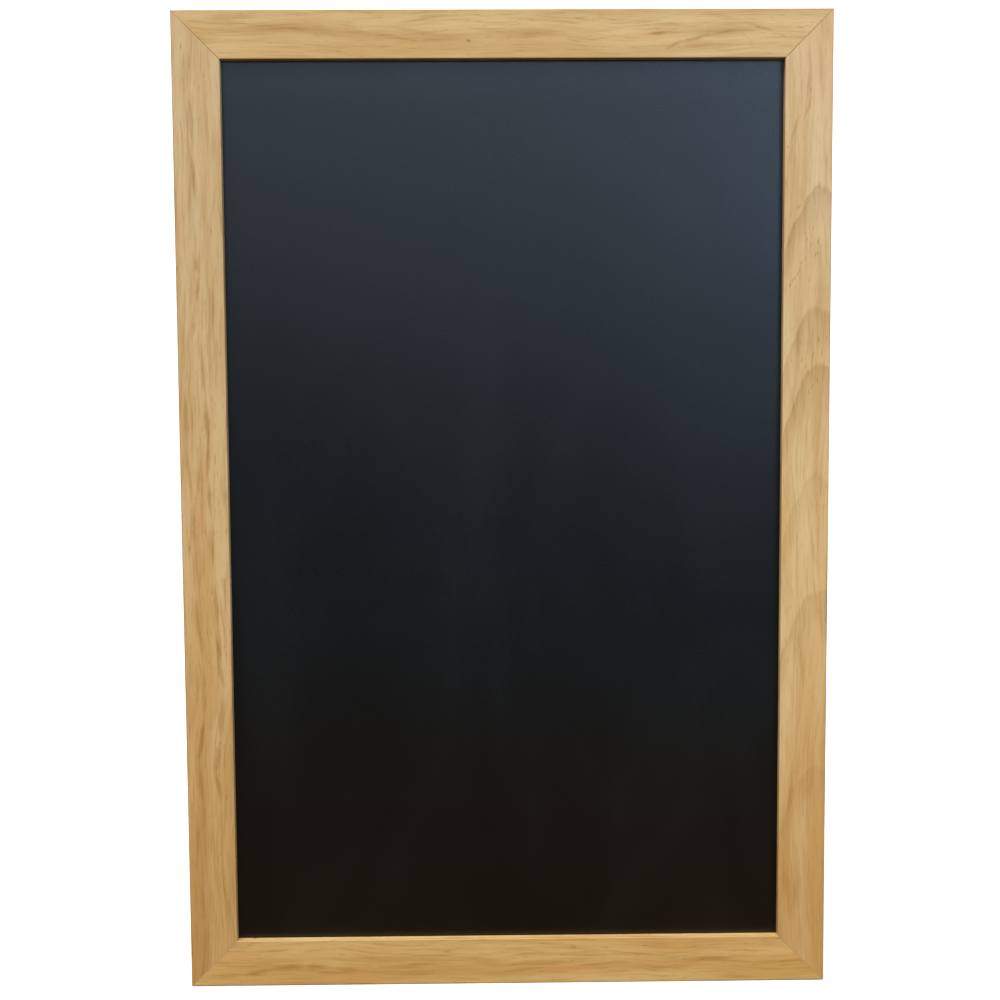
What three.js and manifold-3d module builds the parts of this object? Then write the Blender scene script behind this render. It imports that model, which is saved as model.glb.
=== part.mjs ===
// Wall chalkboard: a black writing panel in a mitred pine frame, hung by two D-rings.
// Millimetres, +Z up. The board faces -Y and the wall is the plane y = 0.
// The origin lies on the wall, halfway between the two hooks that hold the rings.

import * as THREE from 'three';
import { mergeVertices } from 'three/addons/utils/BufferGeometryUtils.js';
import Module from 'manifold-3d';

const wasm = await Module();
wasm.setup();

// Frame, outside size
const BOARD_WIDTH = 597;
const BOARD_HEIGHT = 900;

// Moulding: a flat pine section with a rebate at the back of its inner edge
const FACE_WIDTH = 43.5;
const MOULDING_DEPTH = 19;
const LIP_DEPTH = 7;
const REBATE_WIDTH = 9.5;
const FRONT_EASING = 1;
const BACK_EASING = 0.8;
const MITRE_GAP = 0.3;

// Writing panel: a coated sheet bonded to a rigid board
const SHEET_THICKNESS = 0.8;
const BACKING_THICKNESS = 3;
const GLUE_LINE = 0.1;
const PANEL_PLAY = 1.5;

// Clearances: between seated faces, and round steel that is driven into the wood
const SEAT_GAP = 0.25;
const DRIVEN_CLEARANCE = 0.3;

// V-nails across each mitre, driven from the back
const NAILS_PER_CORNER = 2;
const NAIL_LEG = 6.5;
const NAIL_LIP = 1.2;
const NAIL_THICKNESS = 0.6;
const NAIL_HEIGHT = 10;
const NAIL_SINK = 0.4;

// Framer's points that hold the panel in its rebate
const POINTS_PER_RAIL = 3;
const POINTS_PER_STILE = 5;
const POINT_WIDTH = 6;
const POINT_LENGTH = 15;
const POINT_EMBEDDED = 7;
const POINT_TIP = 3;
const POINT_THICKNESS = 0.5;
const POINT_CORNER = 0.8;

// Hangers: a folded strap round a D-ring of bent wire
const HOOK_DROP = 160;
const STRAP_WIDTH = 11;
const STRAP_LENGTH = 41;
const STRAP_THICKNESS = 0.9;
const STRAP_END_RADIUS = 5;
const LEAF_GAP = 0.2;
const NECK_BEND = 1.5;
const LOOP_PLAY = 0.35;
const RING_WIRE = 2.5;
const RING_WIDTH = 20;
const RING_REACH = 14;
const RING_CORNER = 2.6;
const RING_BUTT_GAP = 0.4;

// Pan-head screws, two in each strap, placed from the strap's lower end
const SCREWS_PER_STRAP = 2;
const SCREW_END_MARGIN = 6.5;
const SCREW_SPACING = 12;
const SCREW_LENGTH = 13;
const SCREW_SHANK = 3.3;
const SCREW_POINT = 4;
const SCREW_HEAD = 6.6;
const SCREW_HEAD_HEIGHT = 2.3;
const SCREW_HEAD_EDGE = 0.7;
const RECESS_SPAN = 3.4;
const RECESS_SLOT = 0.8;
const RECESS_DEPTH = 1.4;

// Rubber bumpers on the back of the bottom rail
const BUMPER_DIAMETER = 12;
const BUMPER_FACE = 9.5;
const BUMPER_HEIGHT = 6;
const BUMPER_ROUND = 0.9;
const BUMPER_INSET = 52;

// Smoothness of the curves
const EASING_STEPS = 3;
const SMALL_ARC_STEPS = 5;
const STRAP_ARC_STEPS = 9;
const ROUND_SIDES = 28;
const HOLE_SIDES = 20;
const WIRE_SIDES = 10;
const RING_STEPS = 64;

// Places that follow from the sizes above
const QUARTER_TURN = Math.PI / 2;
const TOP = HOOK_DROP;
const BOTTOM = HOOK_DROP - BOARD_HEIGHT;
const MIDDLE = (TOP + BOTTOM) / 2;
const SOLID_WIDTH = FACE_WIDTH - REBATE_WIDTH;
const FRAME_BACK = -(BUMPER_HEIGHT + SEAT_GAP);
const FRAME_FRONT = FRAME_BACK - MOULDING_DEPTH;
const SHEET_FRONT = FRAME_FRONT + LIP_DEPTH + SEAT_GAP;
const BACKING_FRONT = SHEET_FRONT + SHEET_THICKNESS + GLUE_LINE;
const PANEL_BACK = BACKING_FRONT + BACKING_THICKNESS;
const PANEL_WIDTH = BOARD_WIDTH - 2 * (SOLID_WIDTH + PANEL_PLAY);
const PANEL_HEIGHT = BOARD_HEIGHT - 2 * (SOLID_WIDTH + PANEL_PLAY);
const LOOP_BORE = RING_WIRE / 2 + LOOP_PLAY;
const LOOP_RADIUS = LOOP_BORE + STRAP_THICKNESS;
const STRAP_STACK = 2 * STRAP_THICKNESS + LEAF_GAP;
const STRAP_BACK = FRAME_BACK + SEAT_GAP;
const RING_BAR_Y = STRAP_BACK + LOOP_RADIUS;
const RING_DROP = RING_REACH - RING_WIRE / 2;
const RING_BAR_Z = -(RING_DROP - RING_WIRE / 2);
const RING_TILT = Math.asin((STRAP_STACK + SEAT_GAP + RING_WIRE / 2 - LOOP_RADIUS) / RING_DROP);

// Depth of the points' front faces, measured from the back of the frame
const POINT_FRONT = PANEL_BACK + SEAT_GAP - FRAME_BACK;

// The middle of each stile's solid part, where its hanger is screwed
const HANGER_X = BOARD_WIDTH / 2 - SOLID_WIDTH / 2;

// Distances of the screws below the ring's bar, from the lowest up
const SCREW_PLACES = Array.from(
  { length: SCREWS_PER_STRAP },
  (unused, index) => STRAP_LENGTH - SCREW_END_MARGIN - index * SCREW_SPACING,
);

// Materials
const pine = new THREE.MeshStandardMaterial({ color: 0xd2ae78, roughness: 0.45, metalness: 0 });
const chalkBlack = new THREE.MeshStandardMaterial({ color: 0x1d1e21, roughness: 0.6, metalness: 0 });
const hardboard = new THREE.MeshStandardMaterial({ color: 0x6f4d31, roughness: 0.75, metalness: 0 });
const zincSteel = new THREE.MeshStandardMaterial({ color: 0xb9bcbf, roughness: 0.35, metalness: 1 });
const rubber = new THREE.MeshStandardMaterial({ color: 0x26262a, roughness: 0.8, metalness: 0 });

// Outlines

// A closed outline through corners [x, y, radius], each rounded by its radius
function roundedShape(corners) {
  const shape = new THREE.Shape();
  corners.forEach(([x, y, radius = 0], index) => {
    const corner = new THREE.Vector2(x, y);
    const last = corners[(index + corners.length - 1) % corners.length];
    const next = corners[(index + 1) % corners.length];
    const toLast = new THREE.Vector2(last[0], last[1]).sub(corner).normalize();
    const toNext = new THREE.Vector2(next[0], next[1]).sub(corner).normalize();
    if (radius === 0 && index === 0) {
      shape.moveTo(x, y);
    } else if (radius === 0) {
      shape.lineTo(x, y);
    } else {
      const halfAngle = Math.acos(toLast.dot(toNext)) / 2;
      const setback = radius / Math.tan(halfAngle);
      const start = corner.clone().addScaledVector(toLast, setback);
      const end = corner.clone().addScaledVector(toNext, setback);
      const bisector = toLast.clone().add(toNext).normalize();
      const centre = corner.clone().addScaledVector(bisector, radius / Math.sin(halfAngle));
      const clockwise = toLast.cross(toNext) > 0;
      const startAngle = start.sub(centre).angle();
      const endAngle = end.sub(centre).angle();
      shape.absarc(centre.x, centre.y, radius, startAngle, endAngle, clockwise);
    }
  });
  return shape;
}

// The points of a closed outline moved outwards by a distance, anticlockwise outlines only
function grown(points, distance) {
  return points.map(([x, y], index) => {
    const last = points[(index + points.length - 1) % points.length];
    const next = points[(index + 1) % points.length];
    const into = new THREE.Vector2(x - last[0], y - last[1]).normalize();
    const out = new THREE.Vector2(next[0] - x, next[1] - y).normalize();
    const outward = new THREE.Vector2(into.y + out.y, -into.x - out.x).normalize();
    const reach = distance / outward.dot(new THREE.Vector2(into.y, -into.x));
    return [x + outward.x * reach, y + outward.y * reach];
  });
}

// The anticlockwise outline of a strip of even thickness along an open line of points
function stripOutline(line, thickness) {
  const there = line.map((point, index) => sidePoint(line, index, thickness / 2));
  const back = line.map((point, index) => sidePoint(line, index, -thickness / 2));
  return [...there, ...back.reverse()];
}

// The point beside one point of a line, at a distance to its right
function sidePoint(line, index, distance) {
  const [x, y] = line[index];
  const last = line[Math.max(index - 1, 0)];
  const next = line[Math.min(index + 1, line.length - 1)];
  const into = new THREE.Vector2(x - last[0], y - last[1]).normalize();
  const out = new THREE.Vector2(next[0] - x, next[1] - y).normalize();
  const ahead = into.lengthSq() === 0 ? out : into;
  const right = new THREE.Vector2(into.y + out.y, -into.x - out.x).normalize();
  const reach = distance / right.dot(new THREE.Vector2(ahead.y, -ahead.x));
  return [x + right.x * reach, y + right.y * reach];
}

// Solids

// A section drawn in Y and Z, extruded along X about x = 0
function extrudeAlongX(section, length, curveSegments) {
  const geometry = new THREE.ExtrudeGeometry(section, { depth: length, bevelEnabled: false, curveSegments });
  const yAxis = new THREE.Vector3(0, 1, 0);
  const zAxis = new THREE.Vector3(0, 0, 1);
  const xAxis = new THREE.Vector3(1, 0, 0);
  geometry.applyMatrix4(new THREE.Matrix4().makeBasis(yAxis, zAxis, xAxis));
  return geometry.translate(-length / 2, 0, 0);
}

// A plan drawn in X and Z, extruded along Y from one depth to another
function extrudeAlongY(plan, fromY, toY, curveSegments) {
  const depth = toY - fromY;
  const geometry = new THREE.ExtrudeGeometry(plan, { depth, bevelEnabled: false, curveSegments });
  return geometry.rotateX(QUARTER_TURN).translate(0, toY, 0);
}

// A closed solid for joining and cutting, with shared vertices merged
function toSolid(geometry) {
  const bare = geometry.clone();
  bare.deleteAttribute('normal');
  bare.deleteAttribute('uv');
  const merged = mergeVertices(bare);
  const corners = merged.index.array;
  const triangles = [];
  for (let start = 0; start < corners.length; start += 3) {
    const [a, b, c] = corners.slice(start, start + 3);
    if (a !== b && b !== c && c !== a) {
      triangles.push(a, b, c);
    }
  }
  return new wasm.Manifold(new wasm.Mesh({
    numProp: 3,
    vertProperties: merged.attributes.position.array,
    triVerts: new Uint32Array(triangles),
  }));
}

// The geometry of a solid, with flat faces
function toGeometry(solid) {
  const { vertProperties, triVerts } = solid.getMesh();
  const indexed = new THREE.BufferGeometry();
  indexed.setAttribute('position', new THREE.BufferAttribute(vertProperties, 3));
  indexed.setIndex(new THREE.BufferAttribute(triVerts, 1));
  const geometry = indexed.toNonIndexed();
  geometry.computeVertexNormals();
  return geometry;
}

function cutBy(geometry, cutters) {
  const solid = cutters.reduce((rest, cutter) => rest.subtract(toSolid(cutter)), toSolid(geometry));
  return toGeometry(solid);
}

// A named piece in its group
function addPiece(group, name, geometry, material) {
  const mesh = new THREE.Mesh(geometry, material);
  mesh.name = name;
  group.add(mesh);
  return mesh;
}

// Frame

// One length of moulding: along X, outer edge at z = 0, back face at y = 0, both ends mitred
function mouldingGeometry(length) {
  const section = roundedShape([
    [0, 0, BACK_EASING],
    [0, -SOLID_WIDTH, 0],
    [LIP_DEPTH - MOULDING_DEPTH, -SOLID_WIDTH, 0],
    [LIP_DEPTH - MOULDING_DEPTH, -FACE_WIDTH, 0],
    [-MOULDING_DEPTH, -FACE_WIDTH, FRONT_EASING],
    [-MOULDING_DEPTH, 0, FRONT_EASING],
  ]);
  const geometry = extrudeAlongX(section, length, EASING_STEPS);
  const setback = MITRE_GAP / 2 * Math.SQRT2;
  const places = geometry.attributes.position;
  for (let index = 0; index < places.count; index += 1) {
    const end = Math.sign(places.getX(index));
    places.setX(index, end * (length / 2 + places.getZ(index) - setback));
  }
  return geometry;
}

// Plan of a V-nail with its bend at [0, 0] and one leg along each rail, away from the corner
function nailOutline() {
  const lip = NAIL_LIP * Math.SQRT1_2;
  return stripOutline([
    [-NAIL_LEG, 0],
    [lip - NAIL_LEG, -lip],
    [0, 0],
    [-lip, lip - NAIL_LEG],
    [0, -NAIL_LEG],
  ], NAIL_THICKNESS);
}

function nailGeometry() {
  return extrudeAlongY(roundedShape(nailOutline()), -NAIL_SINK - NAIL_HEIGHT, -NAIL_SINK);
}

function nailSlotGeometry() {
  const outline = grown(nailOutline(), DRIVEN_CLEARANCE);
  return extrudeAlongY(roundedShape(outline), -NAIL_SINK - NAIL_HEIGHT - DRIVEN_CLEARANCE, NAIL_SINK);
}

// Distance of each V-nail's bend from the outer edges
function nailDistances() {
  const step = SOLID_WIDTH / (NAILS_PER_CORNER + 1);
  return Array.from({ length: NAILS_PER_CORNER }, (unused, index) => step * (index + 1));
}

// Plan of a framer's point: the rebate's wall is z = 0 and its tip is driven towards +Z
function pointOutline() {
  return [
    [-POINT_WIDTH / 2, POINT_EMBEDDED - POINT_LENGTH],
    [POINT_WIDTH / 2, POINT_EMBEDDED - POINT_LENGTH],
    [POINT_WIDTH / 2, POINT_EMBEDDED - POINT_TIP],
    [0, POINT_EMBEDDED],
    [-POINT_WIDTH / 2, POINT_EMBEDDED - POINT_TIP],
  ];
}

function pointGeometry() {
  const freeEnd = POINT_EMBEDDED - POINT_LENGTH;
  const corners = pointOutline().map(([x, z]) => [x, z, z === freeEnd ? POINT_CORNER : 0]);
  return extrudeAlongY(roundedShape(corners), POINT_FRONT, POINT_FRONT + POINT_THICKNESS, SMALL_ARC_STEPS);
}

function pointSlotGeometry() {
  const outline = grown(pointOutline(), DRIVEN_CLEARANCE);
  const slotFront = POINT_FRONT - DRIVEN_CLEARANCE;
  return extrudeAlongY(roundedShape(outline), slotFront, POINT_FRONT + POINT_THICKNESS + DRIVEN_CLEARANCE);
}

// Places of the points along one side, evenly spread over its rebate
function pointPlaces(length, count) {
  const rebate = length - 2 * SOLID_WIDTH;
  return Array.from({ length: count }, (unused, index) => rebate * ((index + 0.5) / count - 0.5));
}

// One side of the frame with its V-nails at one corner and the points in its rebate.
// The side is built as mouldingGeometry describes and turned about Y to its place.
function addSide(board, { name, corner, length, points, turn, x, z, pilotHoles }) {
  const side = new THREE.Group();
  side.position.set(x, FRAME_BACK, z);
  side.rotation.y = turn;
  side.updateMatrixWorld(true);
  board.add(side);

  const cutters = [];
  nailDistances().forEach((distance, index) => {
    const bend = length / 2 - distance;
    cutters.push(nailSlotGeometry().translate(bend, 0, -distance));
    cutters.push(nailSlotGeometry().rotateY(-QUARTER_TURN).translate(-bend, 0, -distance));
    const nail = addPiece(side, `v_nail_${corner}_${index + 1}`, nailGeometry(), zincSteel);
    nail.position.set(bend, 0, -distance);
  });
  pointPlaces(length, points).forEach((place, index) => {
    cutters.push(pointSlotGeometry().translate(place, 0, -SOLID_WIDTH));
    const point = addPiece(side, `panel_point_${name}_${index + 1}`, pointGeometry(), zincSteel);
    point.position.set(place, 0, -SOLID_WIDTH);
  });
  pilotHoles.forEach((mouth) => {
    const place = side.worldToLocal(mouth.clone());
    cutters.push(pilotHoleGeometry().translate(place.x, place.y, place.z));
  });
  addPiece(side, name, cutBy(mouldingGeometry(length), cutters), pine);
}

// Writing panel

function addPanel(board) {
  const sheetShape = new THREE.BoxGeometry(PANEL_WIDTH, SHEET_THICKNESS, PANEL_HEIGHT);
  const backingShape = new THREE.BoxGeometry(PANEL_WIDTH, BACKING_THICKNESS, PANEL_HEIGHT);
  const sheet = addPiece(board, 'writing_sheet', sheetShape, chalkBlack);
  const backing = addPiece(board, 'backing_board', backingShape, hardboard);
  sheet.position.set(0, SHEET_FRONT + SHEET_THICKNESS / 2, MIDDLE);
  backing.position.set(0, BACKING_FRONT + BACKING_THICKNESS / 2, MIDDLE);
}

// Hangers, drawn with the ring's bar along X at the origin and the wood at y = -LOOP_RADIUS

// Side view of the strap: one strip, folded round the ring's bar with both leaves on the wood.
// The outer leaf leaves the loop at the neck angle and bends back to lie along the inner one.
function strapSection() {
  const bendRadius = LOOP_RADIUS - STRAP_THICKNESS / 2;
  const outerLeaf = STRAP_STACK - STRAP_THICKNESS / 2 - LOOP_RADIUS;
  const centres = bendRadius + NECK_BEND;
  const neck = Math.acos((outerLeaf + NECK_BEND) / centres);
  const neckY = centres * Math.cos(neck);
  const neckZ = -centres * Math.sin(neck);
  const outside = NECK_BEND - STRAP_THICKNESS / 2;
  const inside = NECK_BEND + STRAP_THICKNESS / 2;

  const section = new THREE.Shape();
  section.moveTo(-LOOP_RADIUS, -STRAP_LENGTH);
  section.absarc(0, 0, LOOP_RADIUS, Math.PI, -neck, true);
  section.absarc(neckY, neckZ, outside, Math.PI - neck, Math.PI, false);
  section.lineTo(neckY - outside, -STRAP_LENGTH);
  section.lineTo(neckY - inside, -STRAP_LENGTH);
  section.absarc(neckY, neckZ, inside, Math.PI, Math.PI - neck, true);
  section.absarc(0, 0, LOOP_BORE, -neck, Math.PI, false);
  section.lineTo(-LOOP_BORE, -STRAP_LENGTH);
  return section;
}

// Front view of the strap: round at its lower end, with a hole for each screw
function strapPlan() {
  const half = STRAP_WIDTH / 2;
  const endRadius = Math.min(STRAP_END_RADIUS, half);
  const plan = roundedShape([
    [half, 2 * LOOP_RADIUS],
    [-half, 2 * LOOP_RADIUS],
    [-half, -STRAP_LENGTH, endRadius],
    [half, -STRAP_LENGTH, endRadius],
  ]);
  for (const place of SCREW_PLACES) {
    const hole = new THREE.Path();
    hole.absarc(0, -place, SCREW_SHANK / 2 + DRIVEN_CLEARANCE, 0, 2 * Math.PI);
    plan.holes.push(hole);
  }
  return plan;
}

function strapGeometry() {
  const folded = toSolid(extrudeAlongX(strapSection(), STRAP_WIDTH, STRAP_ARC_STEPS));
  const plan = toSolid(extrudeAlongY(strapPlan(), -2 * LOOP_RADIUS, 2 * LOOP_RADIUS, STRAP_ARC_STEPS));
  return toGeometry(folded.intersect(plan));
}

// Centre line of the ring's wire, flat in X and Z, from butt end to butt end inside the loop
class RingLine extends THREE.Curve {
  constructor() {
    super();
    const half = (RING_WIDTH - RING_WIRE) / 2;
    const bowZ = half - RING_DROP;
    const bendX = half - RING_CORNER;
    this.path = new THREE.Path();
    this.path.moveTo(RING_BUTT_GAP / 2, 0);
    this.path.absarc(bendX, -RING_CORNER, RING_CORNER, QUARTER_TURN, 0, true);
    this.path.absarc(0, bowZ, half, 0, -Math.PI, true);
    this.path.absarc(-bendX, -RING_CORNER, RING_CORNER, Math.PI, QUARTER_TURN, true);
    this.path.lineTo(-RING_BUTT_GAP / 2, 0);
  }

  getPoint(share, target = new THREE.Vector3()) {
    const place = this.path.getPoint(share);
    return target.set(place.x, 0, place.y);
  }
}

function ringGeometry() {
  const section = new THREE.Shape();
  section.absarc(0, 0, RING_WIRE / 2, 0, 2 * Math.PI);
  return new THREE.ExtrudeGeometry(section, {
    steps: RING_STEPS,
    curveSegments: WIRE_SIDES / 2,
    extrudePath: new RingLine(),
  });
}

// A pan-head screw along Y, with the underside of its head at y = 0
function screwGeometry() {
  const profile = new THREE.Path();
  profile.moveTo(0, -SCREW_LENGTH);
  profile.lineTo(SCREW_SHANK / 2, SCREW_POINT - SCREW_LENGTH);
  profile.lineTo(SCREW_SHANK / 2, 0);
  profile.lineTo(SCREW_HEAD / 2, 0);
  profile.lineTo(SCREW_HEAD / 2, SCREW_HEAD_EDGE);
  const domeHeight = SCREW_HEAD_HEIGHT - SCREW_HEAD_EDGE;
  profile.absellipse(0, SCREW_HEAD_EDGE, SCREW_HEAD / 2, domeHeight, 0, QUARTER_TURN, false, 0);
  const screw = new THREE.LatheGeometry(profile.getPoints(SMALL_ARC_STEPS), ROUND_SIDES);
  const recess = [0, QUARTER_TURN].map((turn) => {
    const slot = new THREE.BoxGeometry(RECESS_SPAN, RECESS_DEPTH * 2, RECESS_SLOT);
    return slot.rotateY(turn).translate(0, SCREW_HEAD_HEIGHT, 0);
  });
  return cutBy(screw, recess);
}

// The hole in the stile for one screw, with its mouth at the origin
function pilotHoleGeometry() {
  const reach = SCREW_LENGTH + DRIVEN_CLEARANCE - (STRAP_STACK + 2 * SEAT_GAP);
  const radius = SCREW_SHANK / 2 + DRIVEN_CLEARANCE;
  const mouth = SEAT_GAP;
  const hole = new THREE.CylinderGeometry(radius, radius, reach + mouth, HOLE_SIDES);
  return hole.translate(0, (mouth - reach) / 2, 0);
}

function pilotHoleMouths(x) {
  return SCREW_PLACES.map((place) => new THREE.Vector3(x, FRAME_BACK, RING_BAR_Z - place));
}

function addHanger(board, side, x) {
  const hanger = new THREE.Group();
  hanger.position.set(x, RING_BAR_Y, RING_BAR_Z);
  board.add(hanger);
  addPiece(hanger, `${side}_hanger_strap`, strapGeometry(), zincSteel);
  const ring = addPiece(hanger, `${side}_d_ring`, ringGeometry(), zincSteel);
  ring.rotation.x = RING_TILT;
  SCREW_PLACES.forEach((place, index) => {
    const screw = addPiece(hanger, `${side}_hanger_screw_${index + 1}`, screwGeometry(), zincSteel);
    screw.position.set(0, STRAP_STACK + SEAT_GAP - LOOP_RADIUS, -place);
  });
}

// Bumpers

function bumperGeometry() {
  const profile = new THREE.Path();
  profile.moveTo(0, 0);
  profile.lineTo(BUMPER_DIAMETER / 2, 0);
  profile.lineTo(BUMPER_FACE / 2, BUMPER_HEIGHT - BUMPER_ROUND);
  profile.absarc(BUMPER_FACE / 2 - BUMPER_ROUND, BUMPER_HEIGHT - BUMPER_ROUND, BUMPER_ROUND, 0, QUARTER_TURN);
  profile.lineTo(0, BUMPER_HEIGHT);
  return new THREE.LatheGeometry(profile.getPoints(SMALL_ARC_STEPS), ROUND_SIDES);
}

function addBumper(board, side, x) {
  const bumper = addPiece(board, `${side}_bumper`, bumperGeometry(), rubber);
  bumper.position.set(x, FRAME_BACK + SEAT_GAP, BOTTOM + SOLID_WIDTH / 2);
}

// Assembly

const board = new THREE.Group();
const halfWidth = BOARD_WIDTH / 2;
const rail = { length: BOARD_WIDTH, points: POINTS_PER_RAIL, x: 0, pilotHoles: [] };
const stile = { length: BOARD_HEIGHT, points: POINTS_PER_STILE, z: MIDDLE };
const sides = [
  { ...rail, name: 'top_rail', corner: 'top_right', turn: 0, z: TOP },
  {
    ...stile,
    name: 'right_stile',
    corner: 'bottom_right',
    turn: QUARTER_TURN,
    x: halfWidth,
    pilotHoles: pilotHoleMouths(HANGER_X),
  },
  { ...rail, name: 'bottom_rail', corner: 'bottom_left', turn: Math.PI, z: BOTTOM },
  {
    ...stile,
    name: 'left_stile',
    corner: 'top_left',
    turn: -QUARTER_TURN,
    x: -halfWidth,
    pilotHoles: pilotHoleMouths(-HANGER_X),
  },
];
sides.forEach((side) => addSide(board, side));
addPanel(board);
addHanger(board, 'left', -HANGER_X);
addHanger(board, 'right', HANGER_X);
addBumper(board, 'left', BUMPER_INSET - halfWidth);
addBumper(board, 'right', halfWidth - BUMPER_INSET);

export default board;
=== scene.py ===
from math import radians, tau

import bmesh
import bpy
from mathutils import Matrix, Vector


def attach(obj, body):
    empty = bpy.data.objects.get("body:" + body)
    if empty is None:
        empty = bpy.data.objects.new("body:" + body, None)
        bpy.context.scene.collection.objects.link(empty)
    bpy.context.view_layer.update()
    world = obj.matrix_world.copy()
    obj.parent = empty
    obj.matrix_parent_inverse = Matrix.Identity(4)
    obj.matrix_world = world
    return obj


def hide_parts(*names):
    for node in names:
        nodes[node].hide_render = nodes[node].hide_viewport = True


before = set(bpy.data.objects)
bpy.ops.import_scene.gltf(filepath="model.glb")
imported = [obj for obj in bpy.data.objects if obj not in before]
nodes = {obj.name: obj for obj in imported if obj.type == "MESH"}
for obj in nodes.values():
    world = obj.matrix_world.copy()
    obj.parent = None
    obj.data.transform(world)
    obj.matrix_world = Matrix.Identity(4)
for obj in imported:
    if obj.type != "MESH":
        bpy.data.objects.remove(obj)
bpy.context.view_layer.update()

MM = 0.001
SCENE = bpy.context.scene
SCENE.view_settings.view_transform = "Standard"

# Frame, as built
FRAME_HALF = 298.5 * MM
FRAME_TOP = 160 * MM
FRAME_FOOT = -740 * MM
FACE_WIDE = 43.5 * MM
SOLID_WIDE = 34 * MM
FRONT_Y = -25.25 * MM
LIP_Y = -18.25 * MM
BACK_Y = -6.25 * MM

# Camera: place in metres, turn in degrees
CAMERA_PLACE = (-0.0169, -1.1743, -0.2059)
CAMERA_TURN = (86.2091, 0.3382, -0.6081)
LENS_MM = 45.0
SENSOR_MM = 36.0
NEAREST = 0.01


def place_camera():
    lens = bpy.data.cameras.new("camera")
    lens.lens = LENS_MM
    lens.sensor_width = SENSOR_MM
    lens.clip_start = NEAREST
    camera = bpy.data.objects.new("camera", lens)
    camera.location = CAMERA_PLACE
    camera.rotation_euler = [radians(angle) for angle in CAMERA_TURN]
    SCENE.collection.objects.link(camera)
    SCENE.camera = camera


# Colours are written as the eye reads them, from 0 to 255
def colour(red, green, blue):
    def straight(level):
        share = level / 255
        if share <= 0.04045:
            return share / 12.92
        return ((share + 0.055) / 1.055) ** 2.4
    return (straight(red), straight(green), straight(blue), 1.0)


class Recipe:
    """One finish: its nodes are added a line at a time."""

    def __init__(self, name, tree=None):
        if tree is None:
            self.material = bpy.data.materials.new(name)
            self.material.use_nodes = True
            tree = self.material.node_tree
        self.tree = tree
        self.tree.nodes.clear()

    def node(self, kind, **settings):
        made = self.tree.nodes.new(kind)
        for key, value in settings.items():
            setattr(made, key, value)
        return made

    def feed(self, socket, value):
        if isinstance(value, bpy.types.NodeSocket):
            self.tree.links.new(value, socket)
        else:
            socket.default_value = value

    def math(self, operation, *values, clamp=False):
        made = self.node("ShaderNodeMath", operation=operation, use_clamp=clamp)
        for socket, value in zip(made.inputs, values):
            self.feed(socket, value)
        return made.outputs[0]

    def plus(self, first, second):
        return self.math("ADD", first, second)

    def less(self, first, second):
        return self.math("SUBTRACT", first, second)

    def times(self, first, second):
        return self.math("MULTIPLY", first, second)

    def swing(self, noise, reach):
        """Noise turned into a shift to either side."""
        return self.times(self.less(noise, 0.5), reach)

    def combine(self, x, y, z):
        made = self.node("ShaderNodeCombineXYZ")
        for socket, value in zip(made.inputs, (x, y, z)):
            self.feed(socket, value)
        return made.outputs[0]

    def separate(self, vector):
        made = self.node("ShaderNodeSeparateXYZ")
        self.feed(made.inputs[0], vector)
        return made.outputs

    def place(self):
        return self.node("ShaderNodeTexCoord").outputs["Object"]

    def length(self, vector):
        made = self.node("ShaderNodeVectorMath", operation="LENGTH")
        self.feed(made.inputs[0], vector)
        return made.outputs["Value"]

    def noise(self, vector, scale=1.0, detail=2.0, rough=0.5, wobble=0.0):
        made = self.node("ShaderNodeTexNoise")
        self.feed(made.inputs["Vector"], vector)
        made.inputs["Scale"].default_value = scale
        made.inputs["Detail"].default_value = detail
        made.inputs["Roughness"].default_value = rough
        made.inputs["Distortion"].default_value = wobble
        return made.outputs["Fac"]

    def cells(self, vector, scale):
        made = self.node("ShaderNodeTexVoronoi")
        self.feed(made.inputs["Vector"], vector)
        made.inputs["Scale"].default_value = scale
        return made.outputs["Distance"]

    def span(self, value, low, high, to_low=0.0, to_high=1.0, curve="SMOOTHSTEP"):
        made = self.node("ShaderNodeMapRange", interpolation_type=curve)
        for key, setting in (("Value", value), ("From Min", low), ("From Max", high),
                             ("To Min", to_low), ("To Max", to_high)):
            self.feed(made.inputs[key], setting)
        return made.outputs[0]

    def mix(self, share, first, second, blend="MIX"):
        made = self.node("ShaderNodeMix", data_type="RGBA", blend_type=blend)
        self.feed(made.inputs[0], share)
        self.feed(made.inputs[6], first)
        self.feed(made.inputs[7], second)
        return made.outputs[2]

    def tinted(self, base, tint):
        return self.mix(1.0, base, tint, "MULTIPLY")

    def ramp(self, value, stops):
        made = self.node("ShaderNodeValToRGB")
        self.feed(made.inputs[0], value)
        band = made.color_ramp
        while len(band.elements) < len(stops):
            band.elements.new(1.0)
        for element, (position, level) in zip(band.elements, stops):
            element.position = position
            element.color = (level, level, level, 1.0)
        return made.outputs[0]

    def bump(self, height, distance, strength):
        made = self.node("ShaderNodeBump")
        made.inputs["Strength"].default_value = strength
        made.inputs["Distance"].default_value = distance
        self.feed(made.inputs["Height"], height)
        return made.outputs[0]

    def finish(self, **sockets):
        surface = self.node("ShaderNodeBsdfPrincipled")
        for key, value in sockets.items():
            self.feed(surface.inputs[key.replace("_", " ")], value)
        output = self.node("ShaderNodeOutputMaterial")
        self.tree.links.new(surface.outputs[0], output.inputs[0])
        return self.material


# Clear lacquered pine
PINE_PALE = colour(208, 175, 124)
PINE_WARM = colour(197, 157, 100)
PINE_STAIN = colour(147, 99, 16)
PINE_FLUSH = colour(203, 154, 103)
FLUSH_SHARE = 0.5
STAIN_LIMIT = 0.92

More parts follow.
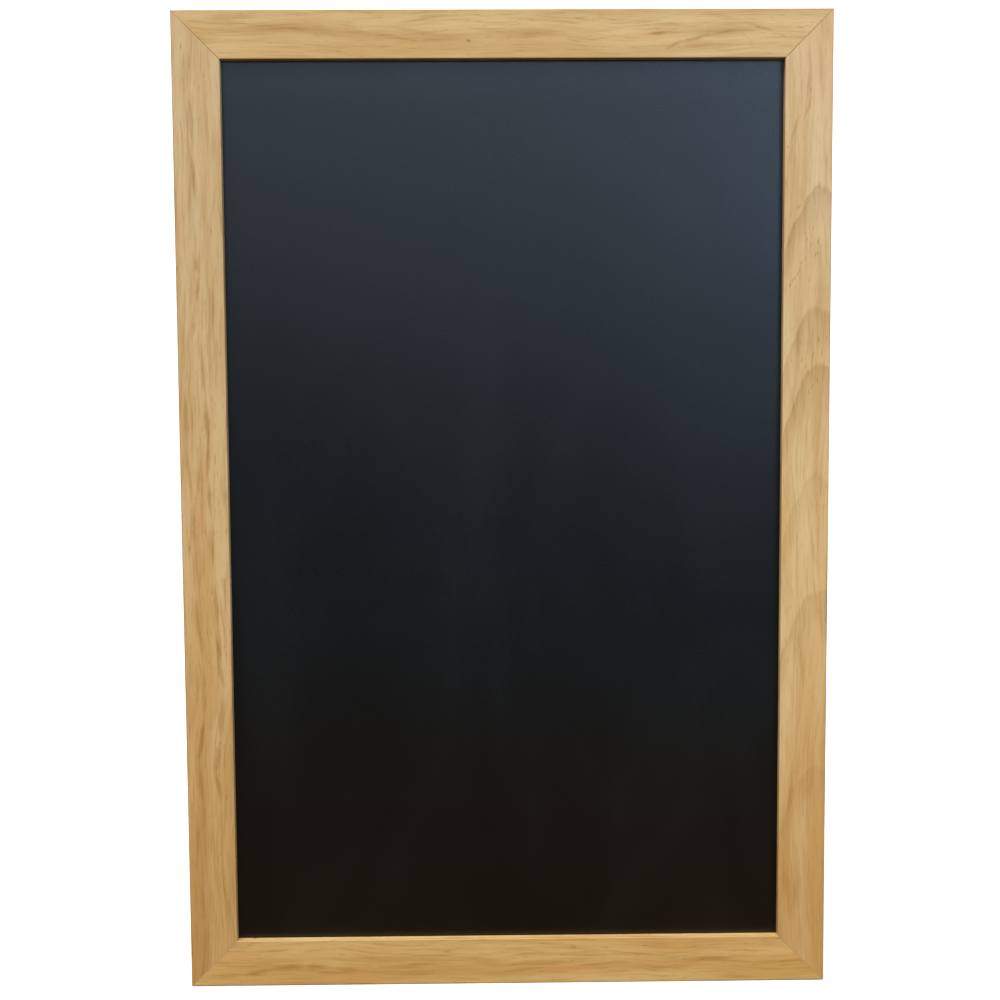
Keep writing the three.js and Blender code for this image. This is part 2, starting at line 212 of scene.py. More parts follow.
# Painted shade along the frame: the wood darkened towards the top, and darkened and warmed towards the
# foot, with the heights where each starts and is full
PINE_HEAD_SHADE = (0.88, 0.90, 0.93, 1.0)
PINE_HEAD = (-450 * MM, 50 * MM)
PINE_FOOT_SHADE = (0.88, 0.80, 0.67, 1.0)
PINE_FOOT = (-340 * MM, -720 * MM)

# Layers of grain, broad to fine: cells in a metre along and across it, depth, detail, roughness
GRAIN = {
    "band": (4.0, 46.0, 3.1, 2.0, 0.5),
    "blush": (10.0, 90.0, 11.0, 2.0, 0.5),
    "streak": (13.0, 170.0, 7.7, 2.5, 0.55),
    "ripple": (24.0, 430.0, 1.9, 2.0, 0.6),
    "fibre": (60.0, 1300.0, 0.0, 3.0, 0.6),
    "pore": (105.0, 950.0, 5.0, 1.0, 0.5),
}
GRAIN_DEPTH = 0.25

# Slow wander of the grain's lines: cells in a metre along and across, and how far a line moves
WANDER_ALONG = 6.0
WANDER_ACROSS = 12.0
WANDER = 24 * MM

# What the layers stain: layer, level where the stain starts, level where it is full, share
STAINS = (
    ("streak", 0.44, 0.80, 0.34),
    ("ripple", 0.48, 0.72, 0.31),
    ("fibre", 0.38, 0.85, 0.24),
    ("pore", 0.67, 0.76, 0.55),
)
FIGURE_MEAN = 0.27

# Glue and lacquer soaked into the end grain beside each mitre, less so low down and near the outer edge
SOAK_REACH = 1.0 * MM
SOAK_TONE = 0.62
SOAK_HEIGHT = (-700 * MM, 100 * MM)
SOAK_LOW = 0.15
SOAK_INWARD = (6 * MM, 34 * MM)
SOAK_OUTER = 0.50

# The inner arris, which carries a painted highlight (painted shade on the bottom rail), and the depth
# behind the face where that gives way to the painted light on the lip
LIP_REACH = 1.1 * MM
LIP_START = 1.2 * MM
LIP_FULL = 2.2 * MM

# Outer arris, painted darker as shade
SHADED_ARRIS_REACH = 1.5 * MM
ARRIS_SHADE_TONE = 0.42

# Grain marks: tone, solid core, ragged edge, and half sizes of long streaks and of specks
MARK_TONE = 0.60
MARK_CORE = 0.15
RAGGED_CELLS = 130.0
RAGGED_REACH = 2.2 * MM
SPECK_LENGTH = 12
STREAK_HALF = (0.62, 1.15)
SPECK_HALF = (0.75, 0.62)

# Each grain mark: x, z, length, width (mm), tilt from the rail's own line (degrees), depth of tone
TOP_MARKS = (
    (-228, 146, 110, 5.0, -5, 0.28), (-150, 140, 120, 6.5, -7, 0.26), (-75, 136, 110, 7.0, -5, 0.30),
    (5, 138, 130, 6.0, 3, 0.22), (205, 140, 100, 6.5, 5, 0.22), (120, 145, 80, 5.0, 2, 0.20),
    (-247, 150, 50, 2.0, -8, 0.42), (-189, 143, 76, 2.4, -6, 0.22), (-134, 142, 36, 4.6, -24, 0.20),
    (-102, 136, 45, 2.2, -8, 0.42), (-70, 139, 73, 2.8, -9, 0.35), (-31, 132, 4, 2.9, 0, 1.60),
    (-80, 132, 6, 1.7, -8, 0.80), (-167, 137, 7, 1.5, -16, 0.70), (-269, 142, 6, 1.2, -8, 0.50),
    (-209, 131, 7, 1.2, 0, 0.40), (-255, 123, 6, 1.2, 0, 0.45), (-184, 122, 8, 1.2, -4, 0.45),
    (-148, 123, 7, 1.4, -3, 0.55), (-53, 141, 8, 1.7, 6, 0.50), (-22, 149, 9, 1.7, -9, 0.50),
    (26, 150, 7, 1.5, -2, 0.60), (69, 152, 11, 1.8, 5, 0.75), (54, 152, 67, 1.1, -4, 0.35),
    (126, 149, 27, 1.5, 1, 0.60), (139, 138, 18, 1.7, 3, 0.75), (100, 136, 5, 1.4, 0, 0.60),
    (64, 132, 15, 1.4, -11, 0.50), (84, 133, 29, 1.4, 10, 0.40), (111, 135, 25, 1.2, -4, 0.40),
    (154, 128, 20, 2.0, 26, 0.70), (175, 134, 28, 2.0, 14, 0.75), (200, 139, 27, 1.7, 7, 0.50),
    (218, 136, 12, 1.7, -41, 0.30), (224, 128, 10, 1.5, -69, 0.30), (196, 153, 39, 2.8, -11, 0.45),
    (233, 143, 42, 2.2, -18, 0.45), (230, 143, 5, 1.5, -9, 0.60), (252, 136, 7, 1.7, -16, 0.60),
    (250, 154, 9, 1.7, -6, 0.55), (268, 143, 7, 1.8, -14, 0.55), (154, 142, 7, 1.5, 3, 0.60),
    (171, 144, 8, 1.3, -1, 0.40), (186, 118, 4, 1.3, 0, 0.60),
)
LEFT_MARKS = (
    (-270, 103, 5, 1.2, -1, 0.75), (-278, 95, 7, 1.2, -2, 0.50), (-289, 128, 7, 1.4, -2, 0.80),
    (-268, 84, 5, 1.2, -1, 0.50), (-266, -36, 5, 1.1, -2, 0.60), (-264, -80, 6, 1.1, -1, 0.60),
    (-272, -101, 7, 1.2, -2, 0.80), (-278, -88, 6, 1.1, -1, 0.60), (-283, -125, 8, 1.3, -1, 0.80),
    (-284, 66, 44, 2.3, -1, 0.40), (-281, 16, 55, 2.8, 5, 0.80), (-279, -67, 19, 2.8, 10, 0.60),
    (-279, -88, 27, 2.4, -7, 0.75), (-283, -115, 35, 2.8, -7, 0.35), (-262, -5, 57, 2.3, -8, 0.30),
    (-260, -147, 7, 1.2, -1, 0.70), (-258, -195, 7, 1.2, -2, 0.60), (-266, -213, 7, 1.2, -2, 0.70),
    (-266, -242, 15, 1.2, -1, 0.80), (-264, -256, 7, 1.1, -1, 0.60), (-270, -208, 7, 1.2, -1, 0.60),
    (-268, -188, 6, 1.2, -2, 0.60), (-276, -160, 61, 2.8, 3, 0.55), (-273, -209, 45, 3.2, 3, 0.95),
    (-273, -246, 35, 2.8, -2, 0.70), (-272, -278, 37, 2.8, 2, 0.75), (-270, -323, 58, 3.2, 2, 0.60),
    (-268, -373, 52, 3.2, 3, 0.75), (-266, -415, 43, 2.9, 3, 0.70), (-292, -205, 59, 2.2, 0, 0.50),
    (-290, -259, 58, 2.4, 5, 0.65), (-287, -305, 44, 2.4, 1, 0.60), (-285, -343, 42, 2.8, 2, 0.45),
    (-283, -396, 75, 3.1, 2, 0.45), (-291, -325, 7, 1.3, 2, 0.80), (-265, -444, 30, 2.8, 8, 0.60),
    (-265, -483, 55, 2.8, -4, 0.70), (-269, -521, 31, 3.1, -7, 0.85), (-269, -549, 33, 2.8, 7, 0.80),
    (-267, -591, 59, 2.4, 0, 0.55), (-265, -656, 79, 2.4, 3, 0.45), (-281, -458, 58, 2.8, 0, 0.50),
    (-284, -505, 44, 2.8, -8, 0.85), (-286, -544, 38, 2.8, 4, 0.70), (-283, -576, 34, 2.4, 4, 0.45),
    (-286, -657, 58, 2.8, 1, 0.35), (-285, -699, 35, 2.8, 2, 0.30), (-285, -496, 8, 1.2, -2, 0.70),
    (-288, -466, 7, 1.2, -1, 0.50), (-253, -198, 55, 2.3, -3, 0.30), (-256, -294, 83, 2.8, 1, 0.35),
    (-259, -373, 75, 2.8, -3, 0.30),
)
RIGHT_MARKS = (
    (278, 88, 5, 1.4, -10, 0.70), (276, 72, 22, 1.7, -19, 0.60), (270, 85, 35, 1.5, -2, 0.40),
    (264, 53, 35, 2.0, -19, 0.60), (258, 37, 3, 1.4, -59, 0.90), (268, -17, 4, 1.4, -27, 0.95),
    (270, -15, 2, 1.1, -21, 0.80), (261, 33, 39, 1.8, -13, 0.35), (257, 2, 31, 1.8, -2, 0.45),
    (293, 25, 5, 1.2, 1, 0.70), (293, 141, 5, 1.4, 0, 0.60), (291, 120, 12, 1.3, -4, 0.40),
    (287, 103, 12, 1.2, -3, 0.35), (286, -48, 5, 1.2, -10, 1.00), (286, -58, 4, 1.3, -6, 1.00),
    (280, -51, 4, 1.2, 0, 0.70), (284, -60, 3, 1.2, -10, 0.80), (276, -46, 5, 1.3, -5, 0.80),
    (275, -63, 4, 1.3, -5, 0.80), (271, -67, 4, 1.4, -5, 1.00), (270, -73, 4, 1.4, -5, 0.90),
    (268, -77, 4, 1.4, -6, 1.00), (265, -81, 4, 1.4, -13, 1.00), (263, -83, 4, 1.3, -8, 0.90),
    (261, -87, 4, 1.3, -13, 1.00), (281, -36, 4, 1.2, -5, 0.60), (286, -35, 4, 1.1, 0, 0.50),
    (280, -42, 3, 1.1, 0, 0.60), (295, -135, 5, 1.2, 1, 0.80), (288, -137, 5, 1.2, -4, 0.80),
    (291, -149, 5, 1.2, 1, 0.80), (283, -150, 5, 1.2, -5, 0.90), (276, -161, 4, 1.2, -14, 0.80),
    (272, -155, 5, 1.3, -11, 0.70), (287, -174, 5, 1.2, 0, 0.90), (282, -179, 5, 1.2, -10, 0.90),
    (279, -184, 5, 1.2, -11, 0.70), (274, -430, 60, 2.4, 4, 0.50), (266, -560, 70, 2.6, -3, 0.50),
    (284, -330, 48, 2.2, 3, 0.45), (270, -660, 44, 2.2, -4, 0.45),
)
BOTTOM_MARKS = (
    (-268, -730, 36, 2.2, 1, 0.60), (-236, -727, 28, 3.3, 11, 0.70), (-208, -723, 34, 3.7, 4, 0.70),
    (-179, -722, 26, 3.3, -3, 0.60), (-153, -725, 30, 2.8, -8, 0.50), (-243, -700, 13, 1.8, 21, 0.30),
    (-182, -706, 29, 1.8, 7, 0.22), (-96, -722, 70, 2.6, 4, 0.45), (-30, -716, 62, 2.4, -3, 0.40),
    (44, -720, 80, 2.8, 2, 0.45), (120, -713, 64, 2.2, -4, 0.40), (196, -718, 70, 2.6, 5, 0.45),
    (92, -706, 8, 1.3, 2, 0.60), (-58, -709, 7, 1.3, -3, 0.60), (160, -728, 9, 1.4, 1, 0.60),
)

# Growth rings that cross a stile as arches: height of each edge on the axis (m), depth of tone
RIGHT_ARCHES = (
    (0.003, 0.75), (-0.107, 0.60), (-0.163, 0.70), (-0.262, 0.35), (-0.371, 0.42), (-0.535, 0.32),
)
ARCH_AXIS = 289 * MM
ARCH_CURVE = 55.0
ARCH_LUMPS = (60.0, 28.0)
ARCH_WOBBLE = 30 * MM
ARCH_SLANT = 5.0
ARCH_FADE = 42 * MM
ARCH_LINE = 2.2 * MM
ARCH_TONE = 0.50
ARCH_LOW = -740 * MM
ARCH_HIGH = 160 * MM

# Each arch fades in from above to a line: step from its edge, share of its tone
ARCH_PROFILE = (
    (-ARCH_FADE, 0.0), (-ARCH_LINE * 2, 0.75), (-ARCH_LINE, 1.0), (0.0, 0.9), (ARCH_LINE / 2, 0.0),
)

# Each rail: the axis of its grain, its middle line, the seed and the strength of its figure, the tint
# of its wood, the painted highlight on its inner arris (painted shade on the bottom rail's) and the
# painted light on the lip behind it
RAILS = {
    "top_rail": dict(
        runs="x", centre=138 * MM, seed=2.0, figure=0.86, tint=(1.065, 1.01, 0.83, 1.0),
        arris_light_and_shade=(1.04, 1.10, 1.16, 1.0), lip=(1.20, 1.48, 2.20, 1.0), marks=TOP_MARKS, arches=(),
    ),
    "bottom_rail": dict(
        runs="x", centre=-718 * MM, seed=15.0, figure=0.84, tint=(1.17, 1.165, 1.09, 1.0),
        arris_light_and_shade=(0.76, 0.74, 0.69, 1.0), lip=(1.00, 1.15, 1.38, 1.0), marks=BOTTOM_MARKS, arches=(),
    ),
    "left_stile": dict(
        runs="z", centre=-277 * MM, seed=31.0, figure=1.0, tint=(1.005, 0.975, 0.96, 1.0),
        arris_light_and_shade=(1.02, 1.08, 1.14, 1.0), lip=(1.02, 1.09, 1.28, 1.0), marks=LEFT_MARKS, arches=(),
    ),
    "right_stile": dict(
        runs="z", centre=277 * MM, seed=47.0, figure=0.70, tint=(1.10, 1.095, 1.085, 1.0),
        arris_light_and_shade=(1.24, 1.28, 1.40, 1.0), lip=(1.02, 1.09, 1.28, 1.0), marks=RIGHT_MARKS,
        arches=RIGHT_ARCHES,
    ),
}


def grain_layers(r, along, across, y, seed):
    """Noise drawn out along the grain, once for each layer, on lines that wander slowly."""
    slow = r.combine(r.times(along, WANDER_ALONG), r.times(across, WANDER_ACROSS), seed)
    drifted = r.plus(across, r.swing(r.noise(slow, 1.0, 1.5), WANDER))
    layers = {}
    for name, (per_along, per_across, depth, detail, rough) in GRAIN.items():
        shift = r.plus(r.times(y, per_across * GRAIN_DEPTH), seed + depth)
        lay = r.combine(r.times(along, per_along), r.times(drifted, per_across), shift)
        layers[name] = r.noise(lay, 1.0, detail, rough)
    return layers


def figure_stain(r, layers, figure):
    """The stain of all layers, with its mean kept and its swing set by the rail's figure."""
    stain = 0.0
    for layer, start, full, share in STAINS:
        stain = r.plus(stain, r.span(layers[layer], start, full, 0.0, share))
    return r.plus(r.times(stain, figure), (1 - figure) * FIGURE_MEAN)


def drawn_marks(r, face, lean, marks, fibre):
    drawn = 0.0
    for mark_x, mark_z, length, width, tilt, depth in marks:
        half = STREAK_HALF if length > SPECK_LENGTH else SPECK_HALF
        spot = r.node("ShaderNodeMapping", vector_type="TEXTURE")
        r.feed(spot.inputs["Vector"], face)
        spot.inputs["Location"].default_value = (mark_x * MM, mark_z * MM, 0)
        spot.inputs["Rotation"].default_value = (0, 0, radians(lean + tilt))
        spot.inputs["Scale"].default_value = (length * half[0] * MM, width * half[1] * MM, 1)
        drawn = r.plus(drawn, r.span(r.length(spot.outputs[0]), 1.0, MARK_CORE, 0.0, depth))
    fibrous = r.times(drawn, r.span(fibre, 0.30, 0.70, 0.60, 1.20, curve="LINEAR"))
    return r.times(fibrous, MARK_TONE)


def arch_rings(r, x, y, z, seed, arches):
    off_axis = r.less(x, ARCH_AXIS)
    bow = r.times(r.times(off_axis, off_axis), ARCH_CURVE)
    lumps_across, lumps_along = ARCH_LUMPS
    lumpy = r.noise(r.combine(r.times(x, lumps_across), r.times(z, lumps_along), seed))
    rise = r.plus(r.plus(z, bow), r.swing(lumpy, ARCH_WOBBLE))
    rise = r.plus(rise, r.times(r.less(y, FRONT_Y), ARCH_SLANT))
    height = ARCH_HIGH - ARCH_LOW
    stops = [(0.0, 0.0)]
    for edge, tone in sorted(arches):
        for step, share in ARCH_PROFILE:
            stops.append(((edge + step - ARCH_LOW) / height, tone * share))
    return r.times(r.ramp(r.math("DIVIDE", r.less(rise, ARCH_LOW), height), stops), ARCH_TONE)


def soaked_mitres(r, z, from_side, from_end, ragged):
    off_mitre = r.math("ABSOLUTE", r.less(from_side, from_end))
    soaked = r.span(off_mitre, SOAK_REACH, 0.0, 0.0, SOAK_TONE)
    soaked = r.times(soaked, r.span(ragged, 0.35, 0.65, 0.6, 1.0))
    soaked = r.times(soaked, r.span(z, *SOAK_HEIGHT, SOAK_LOW, 1.0))
    return r.times(soaked, r.span(from_side, *SOAK_INWARD, SOAK_OUTER, 1.0))


def pine(name, runs, centre, seed, figure, tint, arris_light_and_shade, lip, marks, arches):
    """Lacquered pine for one rail: its grain, marks, arches and mitres, painted shade towards its top
    and foot and along its outer arris, painted light and shade on its inner arris and painted light on
    its lip.
    """
    r = Recipe("pine_" + name)
    x, y, z = r.separate(r.place())
    ragged = r.combine(r.times(x, RAGGED_CELLS), r.times(z, RAGGED_CELLS), seed)
    ragged = r.noise(ragged, 1.0, 3.0)
    shove = r.swing(ragged, RAGGED_REACH)
    if runs == "x":
        along, across, lean = x, r.less(z, centre), 0
        face = r.combine(x, r.plus(z, shove), 0.0)
    else:
        along, across, lean = z, r.less(x, centre), 90
        face = r.combine(r.plus(x, shove), z, 0.0)
    layers = grain_layers(r, along, across, y, seed)

    from_side = r.less(FRAME_HALF, r.math("ABSOLUTE", x))
    from_end = r.math("MINIMUM", r.less(FRAME_TOP, z), r.less(z, FRAME_FOOT))
    from_edge = r.math("MINIMUM", from_side, from_end)
    behind_face = r.less(y, FRONT_Y)

    stain = figure_stain(r, layers, figure)
    stain = r.plus(stain, drawn_marks(r, face, lean, marks, layers["fibre"]))
    if arches:
        stain = r.plus(stain, arch_rings(r, x, y, z, seed, arches))
    stain = r.plus(stain, soaked_mitres(r, z, from_side, from_end, ragged))
    # Painted shade along the outer front arris
    off_shaded_arris = r.math("MAXIMUM", from_edge, behind_face)
    stain = r.plus(stain, r.span(off_shaded_arris, SHADED_ARRIS_REACH, SHADED_ARRIS_REACH / 5, 0.0, ARRIS_SHADE_TONE))

    base = r.mix(r.span(layers["band"], 0.35, 0.68), PINE_PALE, PINE_WARM)
    base = r.mix(r.span(layers["blush"], 0.55, 0.75, 0.0, FLUSH_SHARE), base, PINE_FLUSH)
    # Painted shade: darker towards the top, darker and warmer towards the foot
    base = r.mix(r.span(z, *PINE_HEAD), base, r.tinted(base, PINE_HEAD_SHADE))
    base = r.mix(r.span(z, *PINE_FOOT), base, r.tinted(base, PINE_FOOT_SHADE))
    base = r.tinted(base, tint)
    # Painted light on the sight edge: a highlight along the inner arris (shade on the bottom rail),
    # giving way behind the face to painted light on the lip
    off_sight = r.math("ABSOLUTE", r.less(from_edge, FACE_WIDE))
    sight_light_and_shade = r.mix(r.span(behind_face, LIP_START, LIP_FULL), arris_light_and_shade, lip)
    base = r.mix(r.span(off_sight, LIP_REACH, 0.0), base, r.tinted(base, sight_light_and_shade))

    relief = r.plus(r.times(layers["fibre"], 0.5), r.times(layers["streak"], 0.5))
    return r.finish(
        Base_Color=r.mix(r.math("MINIMUM", stain, STAIN_LIMIT), base, PINE_STAIN),
        Roughness=r.span(layers["streak"], 0.3, 0.7, 0.42, 0.54),
        Specular_IOR_Level=0.45,
        Coat_Weight=0.12,
        Coat_Roughness=0.3,
        Normal=r.bump(relief, 0.12 * MM, 0.35),
    )


# Dried glue that fills the four mitres, a hair under the faces of the wood
GLUE_PALE = colour(186, 146, 90)
GLUE_DARK = colour(66, 36, 12)
GLUE_THICK = 0.26 * MM
GLUE_SHY = 0.06 * MM
GLUE_END_SHY = 0.15 * MM
GLUE_CHAMFER = 0.6 * MM

# The glue is palest at the outer corner and low on the frame, and darkens inwards and upwards
GLUE_INWARD = (296 * MM, 280 * MM)
GLUE_OUTER = 0.45
GLUE_HEIGHT = (-720 * MM, 100 * MM)
GLUE_LOW = 0.10


def mitre_glue(name, corner_x, corner_z, inward_x, inward_z, material):
    """One mitre's glue: the moulding's own section, turned into the cut."""
    out, inside, rebate = GLUE_END_SHY, FACE_WIDE - GLUE_SHY, SOLID_WIDE - GLUE_SHY
    front, lip, back = FRONT_Y + GLUE_SHY, LIP_Y - GLUE_SHY, BACK_Y - GLUE_SHY
    ease = GLUE_CHAMFER
    section = (
        (out + ease, front), (inside - ease, front), (inside, front + ease),
        (inside, lip), (rebate, lip), (rebate, back - ease), (rebate - ease, back),
        (out + ease, back), (out, back - ease), (out, front + ease),
    )
    across = Vector((inward_z, 0, -inward_x)).normalized() * GLUE_THICK
    shape = bmesh.new()
    ring = []
    for away, y in section:
        point = Vector((corner_x + inward_x * away, y, corner_z + inward_z * away))
        ring.append(shape.verts.new(point - across / 2))
    cap = shape.faces.new(ring)
    pulled = bmesh.ops.extrude_face_region(shape, geom=[cap])
    moved = [part for part in pulled["geom"] if isinstance(part, bmesh.types.BMVert)]
    bmesh.ops.translate(shape, verts=moved, vec=across)
    bmesh.ops.recalc_face_normals(shape, faces=shape.faces)
    mesh = bpy.data.meshes.new(name)
    shape.to_mesh(mesh)
    shape.free()
    mesh.materials.append(material)
    piece = bpy.data.objects.new(name, mesh)
    SCENE.collection.objects.link(piece)
    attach(piece, "frame")


def glue():
    r = Recipe("mitre_glue")
    place = r.place()
    x, _, z = r.separate(place)
    patchy = r.span(r.noise(place, 130.0), 0.35, 0.65, 0.5, 1.0)
    inward = r.span(r.math("ABSOLUTE", x), *GLUE_INWARD, GLUE_OUTER, 1.0)
    height = r.span(z, *GLUE_HEIGHT, GLUE_LOW, 1.0)
    return r.finish(
        Base_Color=r.mix(r.times(r.times(patchy, inward), height), GLUE_PALE, GLUE_DARK),
        Roughness=r.span(patchy, 0.0, 1.0, 0.55, 0.45),
        Specular_IOR_Level=0.15,
        Normal=r.bump(r.noise(place, 900.0), 0.04 * MM, 0.4),
    )


def fill_mitres():
    material = glue()
    for level, corner_z, inward_z in (("top", FRAME_TOP, -1), ("bottom", FRAME_FOOT, 1)):
        for side, corner_x, inward_x in (("left", -FRAME_HALF, 1), ("right", FRAME_HALF, -1)):
            mitre_glue(f"mitre_glue_{level}_{side}", corner_x, corner_z, inward_x, inward_z, material)


# Writing surface, its sheen tinted bluer above and warmer near the foot: painted reflection colour
# standing in for cool light above and warm light below
SLATE = colour(8, 7, 5)
CHALK_HAZE = colour(27, 25, 23)
SLATE_SHEEN_TINT = (0.61, 0.77, 1.0, 1.0)
SLATE_FOOT_SHEEN_TINT = (1.0, 0.80, 0.55, 1.0)
SLATE_FOOT = (-420 * MM, -700 * MM)
TOOTH = 0.08 * MM
PEBBLE_SHARE = 1.7

# Painted light: a pale line that lifts the shadow just under the top lip, and a faint painted glow
# below it
PAINTED_LIGHT_GREY = colour(74, 81, 92)
PAINTED_LINE_TOP = 116.5 * MM
PAINTED_LINE_REACH = 3.6 * MM
PAINTED_GLOW_FOOT = 72 * MM
PAINTED_GLOW_SHARE = 0.07


def chalk_surface():
    r = Recipe("chalk_surface")
    place = r.place()
    x, _, z = r.separate(place)
    speckle = r.noise(place, 1500.0, 2.0, 0.6)
    pebble = r.noise(place, 950.0)
    wiped = r.noise(r.combine(r.times(x, 9.0), 0.0, r.times(z, 4.0)), 1.0, 3.0, 0.55, 0.6)
    strokes = r.noise(r.combine(r.times(x, 22.0), 0.0, r.times(z, 160.0)))
    haze = r.times(r.span(wiped, 0.35, 0.8, 0.0, 0.22), r.span(strokes, 0.3, 0.75, 0.5, 1.0))
    haze = r.plus(haze, r.span(speckle, 0.42, 0.75, 0.0, 0.28))
    # Painted light lifting the lip's shadow, and a painted glow below it
    shadow_lift = r.span(z, PAINTED_LINE_TOP - PAINTED_LINE_REACH, PAINTED_LINE_TOP - PAINTED_LINE_REACH / 3)
    painted_glow = r.span(z, PAINTED_GLOW_FOOT, PAINTED_LINE_TOP - PAINTED_LINE_REACH, 0.0, PAINTED_GLOW_SHARE)
    black = r.mix(haze, SLATE, CHALK_HAZE)
    return r.finish(
        Base_Color=r.mix(r.math("MAXIMUM", shadow_lift, painted_glow), black, PAINTED_LIGHT_GREY),
        Roughness=r.span(r.plus(speckle, wiped), 0.7, 1.3, 0.33, 0.39),
        Specular_IOR_Level=0.45,
        # Painted reflection colour: the sheen tinted by height
        Specular_Tint=r.mix(r.span(z, *SLATE_FOOT), SLATE_SHEEN_TINT, SLATE_FOOT_SHEEN_TINT),
        Normal=r.bump(r.plus(speckle, r.times(pebble, PEBBLE_SHARE)), TOOTH, 0.8),
    )


# Pressed backing board, with the mesh mark of the press on its back
BOARD_BROWN = colour(150, 113, 76)
BOARD_DARK = colour(112, 79, 50)
SCREEN_PITCH = 1.6 * MM
SCREEN_TONE = 0.13
SCREEN_RELIEF = 0.4


def hardboard():
    r = Recipe("hardboard")
    place = r.place()
    x, _, z = r.separate(place)
    fluff = r.noise(place, 620.0, 3.0, 0.6, 0.3)
    cloud = r.noise(place, 11.0)
    scuff = r.noise(r.combine(r.times(x, 40.0), 0.0, r.times(z, 7.0)), 1.0, 3.0, 0.6)
    wires = [r.math("SINE", r.times(axis, tau / SCREEN_PITCH)) for axis in (x, z)]
    weave = r.times(*wires)
    tone = r.plus(r.span(fluff, 0.35, 0.7, 0.0, 0.50), r.span(cloud, 0.35, 0.7, 0.0, 0.22))
    tone = r.plus(tone, r.span(scuff, 0.50, 0.80, 0.0, -0.16))
    tone = r.math("ADD", tone, r.times(weave, SCREEN_TONE), clamp=True)
    return r.finish(
        Base_Color=r.mix(tone, BOARD_BROWN, BOARD_DARK),
        Roughness=0.8,
        Specular_IOR_Level=0.25,
        Normal=r.bump(r.plus(fluff, r.times(weave, SCREEN_RELIEF)), 0.25 * MM, 0.5),
    )


# Steels: light, dark, smoothest and roughest
PLATED = (colour(190, 192, 195), colour(150, 153, 158), 0.26, 0.42)
ROLLED = (colour(160, 162, 166), colour(118, 118, 122), 0.36, 0.52)


def steel(name, light, dark, smoothest, roughest):
    r = Recipe(name)
    place = r.place()
    spangle = r.cells(place, 900.0)
    smear = r.noise(place, 160.0, 3.0, 0.6)
    scratch = r.noise(place, 2400.0)
    tone = r.math("ADD", r.times(smear, 0.7), r.times(spangle, 0.3), clamp=True)
    return r.finish(
        Base_Color=r.mix(tone, light, dark),
        Metallic=1.0,
        Roughness=r.span(smear, 0.3, 0.7, smoothest, roughest),
        Normal=r.bump(r.plus(scratch, smear), 0.02 * MM, 0.4),
    )


# Moulded rubber, with its grey bloom
RUBBER_BLACK = colour(38, 38, 39)
RUBBER_BLOOM = colour(58, 57, 56)


def rubber():
    r = Recipe("rubber")
    place = r.place()
    bloom = r.noise(place, 220.0, 3.0, 0.6)
    skin = r.noise(place, 2600.0)
    return r.finish(
        Base_Color=r.mix(r.span(bloom, 0.4, 0.75), RUBBER_BLACK, RUBBER_BLOOM),
        Roughness=r.span(bloom, 0.3, 0.7, 0.6, 0.75),
        Specular_IOR_Level=0.4,
        Normal=r.bump(skin, 0.03 * MM, 0.4),
    )


def dress(material, *names):
    for name in names:
        node = nodes[name]
        if not node.material_slots:
            node.data.materials.append(material)
        for slot in node.material_slots:
            slot.material = material


def family(stem):
    return [name for name in nodes if stem in name]


def dress_all():
    for name, rail in RAILS.items():
        dress(pine(name, **rail), name)
    dress(chalk_surface(), "writing_sheet")
    dress(hardboard(), "backing_board")
    dress(steel("zinc_plated_steel", *PLATED), *family("d_ring"), *family("hanger"))
    dress(steel("dull_rolled_steel", *ROLLED), *family("panel_point"), *family("v_nail"))
    dress(rubber(), *family("bumper"))


# Facets that meet below this angle are shaded smooth
SOFT_ANGLE = radians(38)
WELD_REACH = 0.002 * MM


def round_off(name, body):
    """A merged copy of a turned or bent part, shaded smooth across its small facets."""
    node = nodes[name]
    shape = bmesh.new()
    shape.from_mesh(node.data)
    bmesh.ops.remove_doubles(shape, verts=shape.verts, dist=WELD_REACH)
    for face in shape.faces:
        face.smooth = True
    for edge in shape.edges:
        edge.smooth = len(edge.link_faces) == 2 and edge.calc_face_angle() < SOFT_ANGLE
    mesh = bpy.data.meshes.new(name + "_smooth")
    shape.to_mesh(mesh)
    shape.free()
    mesh.materials.clear()
    mesh.materials.append(node.material_slots[0].material)
    piece = bpy.data.objects.new(name + "_smooth", mesh)
    SCENE.collection.objects.link(piece)
    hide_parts(name)
    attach(piece, body)


def round_hardware():
    for side in ("left", "right"):
        round_off(f"{side}_d_ring", f"{side}_ring")
        for part in ("hanger_strap", "hanger_screw_1", "hanger_screw_2"):
            round_off(f"{side}_{part}", "frame")
        round_off(f"{side}_bumper", "frame")


# Floor under the bottom edge: pale where it is seen, dull in what it throws back on the board
FLOOR_HEIGHT = FRAME_FOOT
FLOOR_REACH = 6.0
FLOOR_PALE = colour(232, 232, 232)
FLOOR_DULL = colour(76, 60, 42)

# Sky: dim low, brighter high, brightest behind the board
SKY_LOW = 0.02
SKY_HIGH = 0.60
SKY_BEHIND = 1.25
SKY_RISE = (-0.15, 0.75)
SKY_TURN = (0.0, 0.6)

# How far behind the board the pale backdrop is full
BACKDROP_TURN = (0.0, 0.3)

# Lamps: name, place, width, depth (m), watts, tint
LAMP_AIM = (0.0, 0.0, -0.29)
LAMPS = (
    ("front_softbox", (0.1, -3.6, 1.25), 4.4, 1.35, 42.0, (1.0, 1.0, 1.0)),
    ("right_softbox", (2.4, -3.2, 1.12), 2.0, 1.80, 69.0, (0.78, 1.0, 1.16)),
    ("overhead_softbox", (-3.5, -5.0, 12.6), 9.0, 6.0, 2330.0, (1.0, 1.0, 1.0)),
)


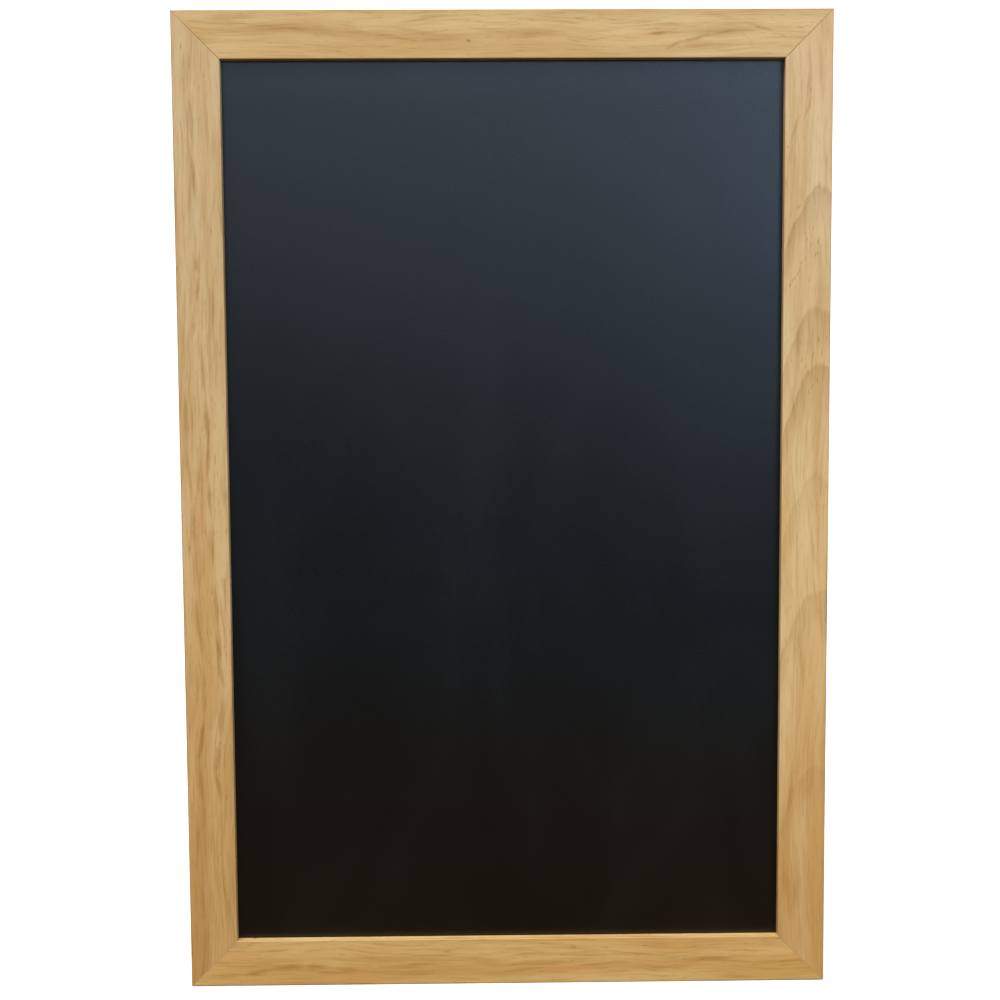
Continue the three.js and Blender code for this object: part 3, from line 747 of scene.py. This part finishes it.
def backdrop_seen(r, y):
    """1 for what the camera sees, and for what metal or glass mirrors of the space behind the board."""
    path = r.node("ShaderNodeLightPath").outputs
    mirrored = r.plus(path["Is Glossy Ray"], path["Is Transmission Ray"])
    behind = r.times(mirrored, r.span(y, *BACKDROP_TURN))
    return r.math("ADD", path["Is Camera Ray"], behind, clamp=True)


def lay_floor():
    bpy.ops.mesh.primitive_plane_add(size=FLOOR_REACH, location=(0, 0, FLOOR_HEIGHT))
    floor = bpy.context.object
    floor.name = "floor"
    r = Recipe("floor")
    y = r.separate(r.place())["Y"]
    bounce = r.node("ShaderNodeBsdfDiffuse")
    r.feed(bounce.inputs["Color"], r.mix(backdrop_seen(r, y), FLOOR_DULL, FLOOR_PALE))
    output = r.node("ShaderNodeOutputMaterial")
    r.feed(output.inputs[0], bounce.outputs[0])
    floor.data.materials.append(r.material)


def hang_sky():
    world = bpy.data.worlds.new("studio")
    world.use_nodes = True
    SCENE.world = world
    r = Recipe("studio", world.node_tree)
    _, y, z = r.separate(r.node("ShaderNodeTexCoord").outputs["Generated"])
    level = r.span(z, *SKY_RISE, SKY_LOW, SKY_HIGH)
    level = r.plus(level, r.span(y, *SKY_TURN, 0.0, SKY_BEHIND))
    glow = r.node("ShaderNodeBackground")
    glow.inputs["Color"].default_value = (1, 1, 1, 1)
    r.feed(glow.inputs["Strength"], r.math("MAXIMUM", level, backdrop_seen(r, y)))
    output = r.node("ShaderNodeOutputWorld")
    r.feed(output.inputs[0], glow.outputs[0])


def hang_lamps():
    for name, place, width, depth, watts, tint in LAMPS:
        lamp = bpy.data.lights.new(name, "AREA")
        lamp.shape = "RECTANGLE"
        lamp.size = width
        lamp.size_y = depth
        lamp.energy = watts
        lamp.color = tint
        holder = bpy.data.objects.new(name, lamp)
        holder.location = place
        aim = Vector(LAMP_AIM) - Vector(place)
        holder.rotation_euler = aim.to_track_quat("-Z", "Y").to_euler()
        SCENE.collection.objects.link(holder)


place_camera()
lay_floor()
hang_sky()
hang_lamps()
dress_all()
round_hardware()
fill_mitres()
